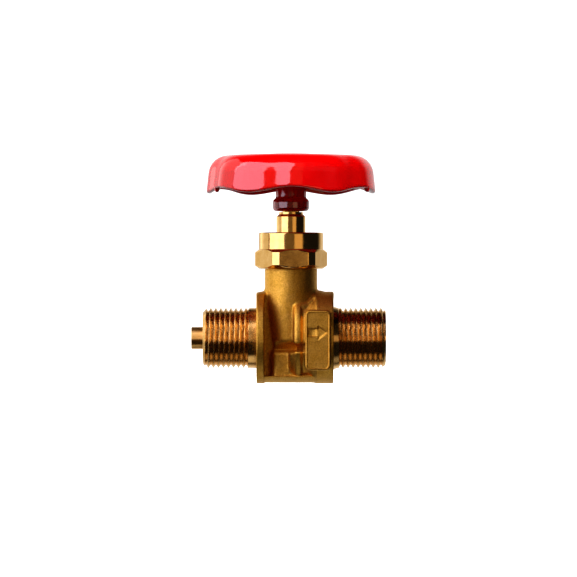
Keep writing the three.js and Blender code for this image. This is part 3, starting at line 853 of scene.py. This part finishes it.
def lobed(r, h, turn):
    """Draws the wheel in at its valleys and lifts its rim beside them. Drips hang from the
    rim, and the hole through the hub is square."""
    raised = (1 + np.cos(LOBES * turn)) / 2
    valley = ((1 + np.cos(LOBES * (turn - VALLEY_LEAN))) / 2) ** VALLEY_SHARPNESS
    outward = smooth_step(r, 14, WHEEL_R - WHEEL_WALL)
    downward = smooth_step(WHEEL_TOP - h, 4, WHEEL_TOP - RIM_Z)
    new_r = r * (1 - VALLEY_DEPTH / WHEEL_R * valley * outward)
    new_h = h + VALLEY_LIFT * raised * outward * downward
    on_lip = smooth_step(RIM_Z + 0.7 - h, 0, 0.7) * (r > 20)
    for drip in DRIPS:
        away = np.abs((turn - drip + math.pi) % (2 * math.pi) - math.pi)
        new_h = new_h - DRIP_LENGTH * on_lip * np.exp(-(away / DRIP_HALF_WIDTH) ** 4)
    half_square, square_corner_r = 3.15, 4.25
    in_square = (r < 4.2) & (h < WHEEL_TOP - 2)
    from_flat = (turn + math.pi / 4) % (math.pi / 2) - math.pi / 4
    square = half_square / np.cos(from_flat)
    return np.where(in_square, np.minimum(square, square_corner_r), new_r), new_h


def handwheel():
    """Hub, web and lobed skirt in one, under a thick coating."""
    draft = 1.5
    shoulder_r = 7.0
    wall = WHEEL_WALL
    under = WHEEL_TOP - wall
    recess_floor = 62.0
    turned(
        "wheel",
        [
            (WHEEL_R, RIM_Z, 0.95),
            (WHEEL_R - draft, WHEEL_TOP, shoulder_r),
            (9.9, WHEEL_TOP, 1.2),
            (8.7, CROWN_TOP, 0.8),
            (6.9, CROWN_TOP, 0.5),
            (6.8, recess_floor, 0.4),
            (3.2, recess_floor),
            (3.2, HUB_BOTTOM),
            (6.5, HUB_BOTTOM, 1.3),
            (6.6, 49.9, 1.4),
            (5.5, 50.4, 0.9),
            (5.4, 58.5, 3.0),
            (9.5, under, 2.5),
            (WHEEL_R - draft - wall, under, shoulder_r - wall),
            (WHEEL_R - wall, RIM_Z, 0.95),
        ],
        "spindle", ["handwheel"], "red_coating", RED,
        step=0.8,
        angles=wheel_angles(),
        shape=lobed,
    )


# ---------------------------------------------------------------- stem and its fasteners


def stem():
    """Foot, drive thread, polished shank, neck and a square for the wheel."""
    pitch, thread_r, root_r = 1.5, 5.9, 5.1
    thread_low, thread_high = 9.0, 18.0
    square_low = HUB_BOTTOM - 0.3

    def shape(r, h, turn):
        phase = h / pitch - turn / (2 * math.pi)
        wave = (1 + np.cos(2 * math.pi * phase)) / 2
        on_thread = (h > thread_low) & (h < thread_high + 0.3) & (r > STEM_R)
        threaded = np.minimum(r, root_r + (thread_r - root_r) * wave)
        from_flat = (turn + math.pi / 4) % (math.pi / 2) - math.pi / 4
        squared = np.minimum(r, 3.0 / np.cos(from_flat))
        on_square = (h > square_low + 0.01) & (r > 2.7)
        return np.where(on_square, squared, np.where(on_thread, threaded, r)), h

    turned(
        "spindle_stem",
        [
            (0, STEM_BOTTOM),
            (2.5, STEM_BOTTOM, 0.2),
            (2.5, 6.2),
            (2.0, 6.2),
            (2.0, 7.4),
            (2.5, 7.4),
            (2.5, thread_low),
            (thread_r - 1, thread_low),
            (thread_r, thread_low + 1),
            (thread_r, thread_high - 0.6),
            (STEM_R, thread_high, 0.1),
            (STEM_R, 43.9, 0.15),
            (4.35, 44.7, 0.15),
            (4.35, square_low),
            (3.9, square_low + 0.02),
            (3.9, STEM_TOP - 0.5),
            (3.4, STEM_TOP),
            (2.6, STEM_TOP),
            (2.6, STEM_TOP - 10),
            (0, STEM_TOP - 11),
        ],
        "spindle", ["stem"], "turned_brass", STEM_TURNED,
        step=0.2,
        angles=even_angles(96),
        shape=shape,
        closed=False,
    )


def wheel_screw():
    """Domed head with a hexagon socket."""
    low, high = span("wheel_screw", 2)
    head_r = radius_of("wheel_screw")
    shank_r = 2.3
    head_low = span("wheel_spring_washer", 2)[1] + 0.2
    socket, socket_corner_r = 3.0, 1.68

    def shape(r, h, turn):
        in_socket = (r > 0.5) & (r < 1.8) & (h > high - 1.6)
        return np.where(in_socket, hexagon_r(turn, socket, socket_corner_r, 0), r), h

    turned(
        "wheel_screw_domed",
        [
            (0, low),
            (shank_r, low, 0.6),
            (shank_r, head_low, 0.1),
            (head_r, head_low, 0.15),
            (head_r, head_low + 0.7, 0.6),
            (head_r - 1.6, high - 0.25, 1.6),
            (1.9, high, 0.1),
            (1.5, high),
            (1.5, high - 1.3),
            (0, high - 1.5),
        ],
        "spindle", ["wheel_screw"], "zinc_steel", ZINC,
        angles=hexagon_angles(socket, socket_corner_r, 0),
        shape=shape,
        closed=False,
    )


def flat_ring(name, node, inner, edge, body, slot, material):
    """A plain ring with rounded edges, as wide and as high as its CAD node."""
    low, high = span(node, 2)
    outer = radius_of(node)
    points = [(inner, low, edge), (outer, low, edge), (outer, high, edge), (inner, high, edge)]
    turned(name, points, body, [node], slot, material, angles=even_angles(96))


def small_hardware():
    screw_bore = 2.6
    flat_ring("wheel_washer_plate", "wheel_washer", screw_bore, 0.15, "spindle", "zinc_steel", ZINC)
    low, high = span("wheel_spring_washer", 2)
    split_ring(
        "wheel_spring_ring", screw_bore, radius_of("wheel_spring_washer"), low, high, 0.6, 0.1,
        "spindle", ["wheel_spring_washer"], "zinc_steel", ZINC,
    )
    low, high = span("holder_clip", 2)
    split_ring(
        "holder_snap_ring", 2.2, radius_of("holder_clip"), low, high, 1.2, 0,
        "spindle", ["holder_clip"], "zinc_steel", ZINC,
    )


# ---------------------------------------------------------------- inner fittings


def v_ring(node, low_rise, high_rise, slot, material):
    """A packing ring whose lower and upper faces rise to a ridge in the middle."""
    low, high = span(node, 2)
    inner, outer = STEM_R + 0.25, BOX_R - 0.25
    middle = (inner + outer) / 2
    points = [
        (inner, low, 0.1),
        (middle, low + low_rise, 0.1),
        (outer, low, 0.1),
        (outer, high - high_rise, 0.1),
        (middle, high, 0.1),
        (inner, high - high_rise, 0.1),
    ]
    turned(node + "_turned", points, "body", [node], slot, material, angles=even_angles(96))


def packing():
    rise = 0.6
    v_ring("packing_base_ring", 0.0, rise, "turned_brass", STEM_TURNED)
    for i in range(1, 5):
        v_ring(f"packing_ring_{i}", rise, rise, "white_polymer", POLYMER)
    v_ring("packing_top_ring", rise, 0.0, "turned_brass", STEM_TURNED)


def gland_follower():
    low, high = span("gland_follower", 2)
    inner, outer, flange_r = STEM_R + 0.25, BOX_R - 0.25, radius_of("gland_follower")
    flange_low = NECK_TOP + 0.3
    points = [
        (inner, low, 0.15),
        (outer, low, 0.2),
        (outer, flange_low, 0.1),
        (flange_r, flange_low, 0.15),
        (flange_r, high, 0.25),
        (inner, high, 0.15),
    ]
    turned("gland_sleeve", points, "body", ["gland_follower"], "turned_brass", STEM_TURNED,
           angles=even_angles(96))


def seat_ring():
    low, high = span("seat_ring", 2)
    outer, bore = radius_of("seat_ring"), 3.0
    points = [
        (bore, low, 0.1),
        (outer, low, 0.15),
        (outer, high - 0.5, 0.15),
        (bore + 1.0, high - 0.5, 0.1),
        (bore + 0.55, high, 0.15),
        (bore, high, 0.15),
    ]
    turned("seat_ring_turned", points, "body", ["seat_ring"], "turned_brass", STEM_TURNED,
           angles=even_angles(96))


def disc_and_holder():
    seal_low, seal_high = span("seal_disc", 2)
    low, high = span("disc_holder", 2)
    outer = radius_of("disc_holder")
    floor = seal_high + 0.3
    clip = span("holder_clip", 2)[0] + 0.1
    holder = [
        (4.0, low, 0.1),
        (outer, low, 0.15),
        (outer, high, 0.4),
        (2.8, high, 0.15),
        (2.8, clip + 0.8),
        (3.5, clip + 0.8),
        (3.5, clip - 0.4),
        (2.8, clip - 0.4),
        (2.8, floor + 0.4),
        (1.1, floor + 0.4),
        (1.1, floor),
        (4.0, floor),
    ]
    turned("disc_holder_turned", holder, "jumper", ["disc_holder"], "turned_brass", STEM_TURNED,
           angles=even_angles(96))
    seal = [
        (1.1, seal_low + 1.5),
        (2.0, seal_low, 0.1),
        (radius_of("seal_disc"), seal_low, 0.15),
        (radius_of("seal_disc"), seal_high, 0.15),
        (1.1, seal_high, 0.1),
    ]
    turned("seal_disc_turned", seal, "jumper", ["seal_disc"], "white_polymer", POLYMER,
           angles=even_angles(96))


def disc_screw():
    """Countersunk, head down, with a slot across it."""
    low, high = span("disc_screw", 2)
    points = [
        (0, low),
        (radius_of("disc_screw"), low, 0.08),
        (0.8, low + 1.5, 0.3),
        (0.8, high, 0.15),
        (0, high),
    ]
    obj = turned("disc_screw_slotted", points, "jumper", ["disc_screw"], "zinc_steel", ZINC,
                 angles=even_angles(64), closed=False)
    mesh = bpy.data.meshes.new("slot")
    work = bmesh.new()
    bmesh.ops.create_cube(work, size=MM)
    for vertex in work.verts:
        vertex.co = Vector((vertex.co.x * 6, vertex.co.y * 0.5, vertex.co.z * 1.2 + low * MM))
    work.to_mesh(mesh)
    work.free()
    tool = bpy.data.objects.new("slot", mesh)
    bpy.context.scene.collection.objects.link(tool)
    cut_away(obj, [tool])


# ---------------------------------------------------------------- studio


def camera():
    """Level, looking along +Y at the middle of the valve, from well back."""
    distance = 1.7
    width_seen = 0.2086
    data = bpy.data.cameras.new("camera")
    data.sensor_width = 36
    data.lens = data.sensor_width * distance / width_seen
    data.clip_end = 20
    obj = bpy.data.objects.new("camera", data)
    obj.location = (-0.9 * MM, -distance, 17.9 * MM)
    obj.rotation_euler = (math.pi / 2, 0, 0)
    bpy.context.scene.collection.objects.link(obj)
    bpy.context.scene.camera = obj


def softbox(name, azimuths, elevations, radiance, colour=(1, 1, 1), reflected=True, diffuse=False):
    """A soft light that faces the valve and fills those two ranges of angles as the valve
    sees them. Azimuth 0 is in front and 90 to the right."""
    distance = 0.9
    a = math.radians(sum(azimuths) / 2)
    e = math.radians(sum(elevations) / 2)
    away = Vector((math.sin(a) * math.cos(e), -math.cos(a) * math.cos(e), math.sin(e)))
    data = bpy.data.lights.new(name, "AREA")
    data.shape = "RECTANGLE"
    data.size = 2 * distance * math.tan(math.radians(azimuths[1] - azimuths[0]) / 2)
    data.size_y = 2 * distance * math.tan(math.radians(elevations[1] - elevations[0]) / 2)
    data.energy = radiance * math.pi * data.size * data.size_y
    data.color = colour
    obj = bpy.data.objects.new(name, data)
    obj.location = away * distance + Vector((0, 0, 0.025))
    obj.rotation_mode = "QUATERNION"
    obj.rotation_quaternion = away.to_track_quat("Z", "Y")
    obj.visible_camera = False
    obj.visible_glossy = reflected
    obj.visible_diffuse = diffuse
    bpy.context.scene.collection.objects.link(obj)


def studio_lights():
    """Most lights are only seen reflected, in the metal and the coating. The wash isn't
    reflected: with the left rear light it gives the coating and the polymer their colour."""
    warm = (1, 0.76, 0.46)
    softbox("key", (-84, -22), (-13, 62), 1.5, (1, 0.98, 1.15))
    softbox("left_rear", (-140, -86), (-30, 50), 0.6, diffuse=True)
    softbox("front", (-22, 12), (-13, 60), 0.15, warm)
    softbox("fill", (12, 42), (-13, 8), 0.6, warm)
    softbox("wash", (-80, 60), (26, 80), 2.3, reflected=False, diffuse=True)


def ramp(tree, value, low, high, start, end):
    """A smooth step of a value between two shader strengths."""
    node = tree.nodes.new("ShaderNodeMapRange")
    node.interpolation_type = "SMOOTHSTEP"
    for key, number in {"From Min": low, "From Max": high, "To Min": start, "To Max": end}.items():
        node.inputs[key].default_value = number
    tree.links.new(value, node.inputs["Value"])
    return node.outputs["Result"]


def arithmetic(tree, operation, first, second):
    """The result of one Math node."""
    node = tree.nodes.new("ShaderNodeMath")
    node.operation = operation
    tree.links.new(first, node.inputs[0])
    tree.links.new(second, node.inputs[1])
    return node.outputs["Value"]


def world():
    """White to the camera. The valve sees it pale low down behind and straight below, and
    dark elsewhere."""
    made = bpy.data.worlds.new("studio")
    made.use_nodes = True
    bpy.context.scene.world = made
    tree = made.node_tree
    background = tree.nodes["Background"]
    place = tree.nodes.new("ShaderNodeTexCoord")
    parts = tree.nodes.new("ShaderNodeSeparateXYZ")
    tree.links.new(place.outputs["Generated"], parts.inputs["Vector"])
    behind = ramp(tree, parts.outputs["Y"], 0.35, 0.8, 0.02, 0.6)
    low = ramp(tree, parts.outputs["Z"], 0.35, 0.7, 1.0, 0.1)
    below = ramp(tree, parts.outputs["Z"], -0.90, -0.98, 0.0, 0.6)
    strength = arithmetic(tree, "MAXIMUM", arithmetic(tree, "MULTIPLY", behind, low), below)
    path = tree.nodes.new("ShaderNodeLightPath")
    strength = arithmetic(tree, "MAXIMUM", path.outputs["Is Camera Ray"], strength)
    tree.links.new(strength, background.inputs["Strength"])
    background.inputs["Color"].default_value = (1, 1, 1, 1)


def floor():
    """A plain pale floor, lit from below as on a light table. It lights nothing else."""
    mesh = bpy.data.meshes.new("floor")
    half = 6.0
    level = -17.0 * MM
    corners = [(-half, -half, level), (half, -half, level), (half, half, level), (-half, half, level)]
    mesh.from_pydata(corners, [], [(0, 1, 2, 3)])
    obj = bpy.data.objects.new("floor", mesh)
    bpy.context.scene.collection.objects.link(obj)
    nodes = Nodes("pale_floor")
    nodes.set(
        Base_Color=(0.9, 0.9, 0.9, 1),
        Roughness=0.9,
        Emission_Color=(1, 1, 1, 1),
        Emission_Strength=0.9,
    )
    mesh.materials.append(nodes.material)
    obj.visible_glossy = False
    obj.visible_diffuse = False


def dress_cad_nodes():
    """Gives each CAD node its procedural finish, whether or not a piece stands for it."""
    finishes = {
        "forged_brass": FORGED,
        "turned_brass": STEM_TURNED,
        "red_coating": RED,
        "white_polymer": POLYMER,
        "zinc_steel": ZINC,
    }
    slots = {part["node"]: part["material_slot"] for part in frame["record"]["subparts"]}
    for name, obj in frame["nodes"].items():
        obj.data.materials.clear()
        obj.data.materials.append(finishes[slots[name]])


def main():
    camera()
    dress_cad_nodes()
    make_forging()
    inlet_stub()
    outlet_stub()
    inlet_spigot()
    packing_nut()
    handwheel()
    stem()
    wheel_screw()
    small_hardware()
    packing()
    gland_follower()
    seat_ring()
    disc_and_holder()
    disc_screw()
    studio_lights()
    world()
    floor()
    bpy.context.scene.view_settings.view_transform = "Standard"
    bpy.context.scene.view_settings.look = "High Contrast"


main()
